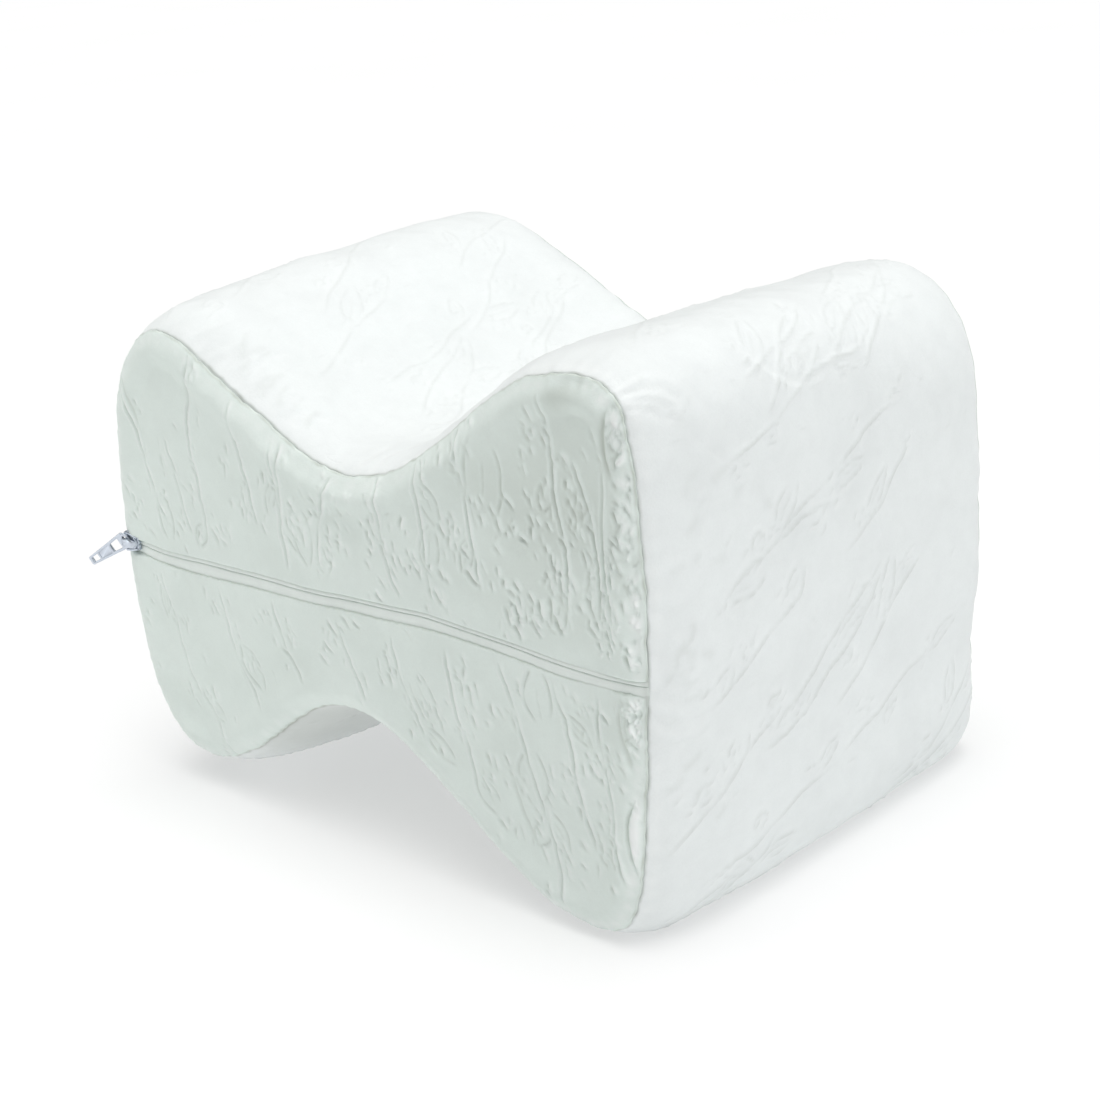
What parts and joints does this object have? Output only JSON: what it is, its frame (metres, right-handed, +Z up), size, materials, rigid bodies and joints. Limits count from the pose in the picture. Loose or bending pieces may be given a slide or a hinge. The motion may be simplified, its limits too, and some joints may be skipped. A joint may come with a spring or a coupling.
{
  "type": "knee pillow",
  "caption": "Hourglass foam knee pillow with a leg saddle on top and underneath, in an embossed velour cover with a zip across one end panel.",
  "frame": {"origin": "middle of the bounding box's base, zip pull counted; the middle of the hourglass section lies 5.75 mm towards +X, 3.1 mm towards +Y and 89.6 mm up", "axes": "+Z up; X across the two lobes, +X towards the plain side face; Y along the saddles, the zipped end panel facing -Y"},
  "size_m": [0.2615, 0.1908, 0.1822],
  "materials": {
    "velour_band": "short velour pile, embossed with thin winding stems and small leaves, pale grey-white",
    "velour_end": "short velour pile, embossed with thin winding stems and small leaves, pale grey-green",
    "zip_tape": "fine woven tape, matt",
    "zip_metal": "pale grey-blue coated zinc, satin"
  },
  "bodies": {
    "root": {"filled_body": "velour_band", "end_panel_zip_upper": "velour_end", "end_panel_zip_lower": "velour_end", "end_panel_far": "velour_end", "zip_tape_upper": "zip_tape", "zip_tape_lower": "zip_tape", "zip_slider": "zip_metal", "zip_pull": "zip_metal"}
  },
  "joints": []
}
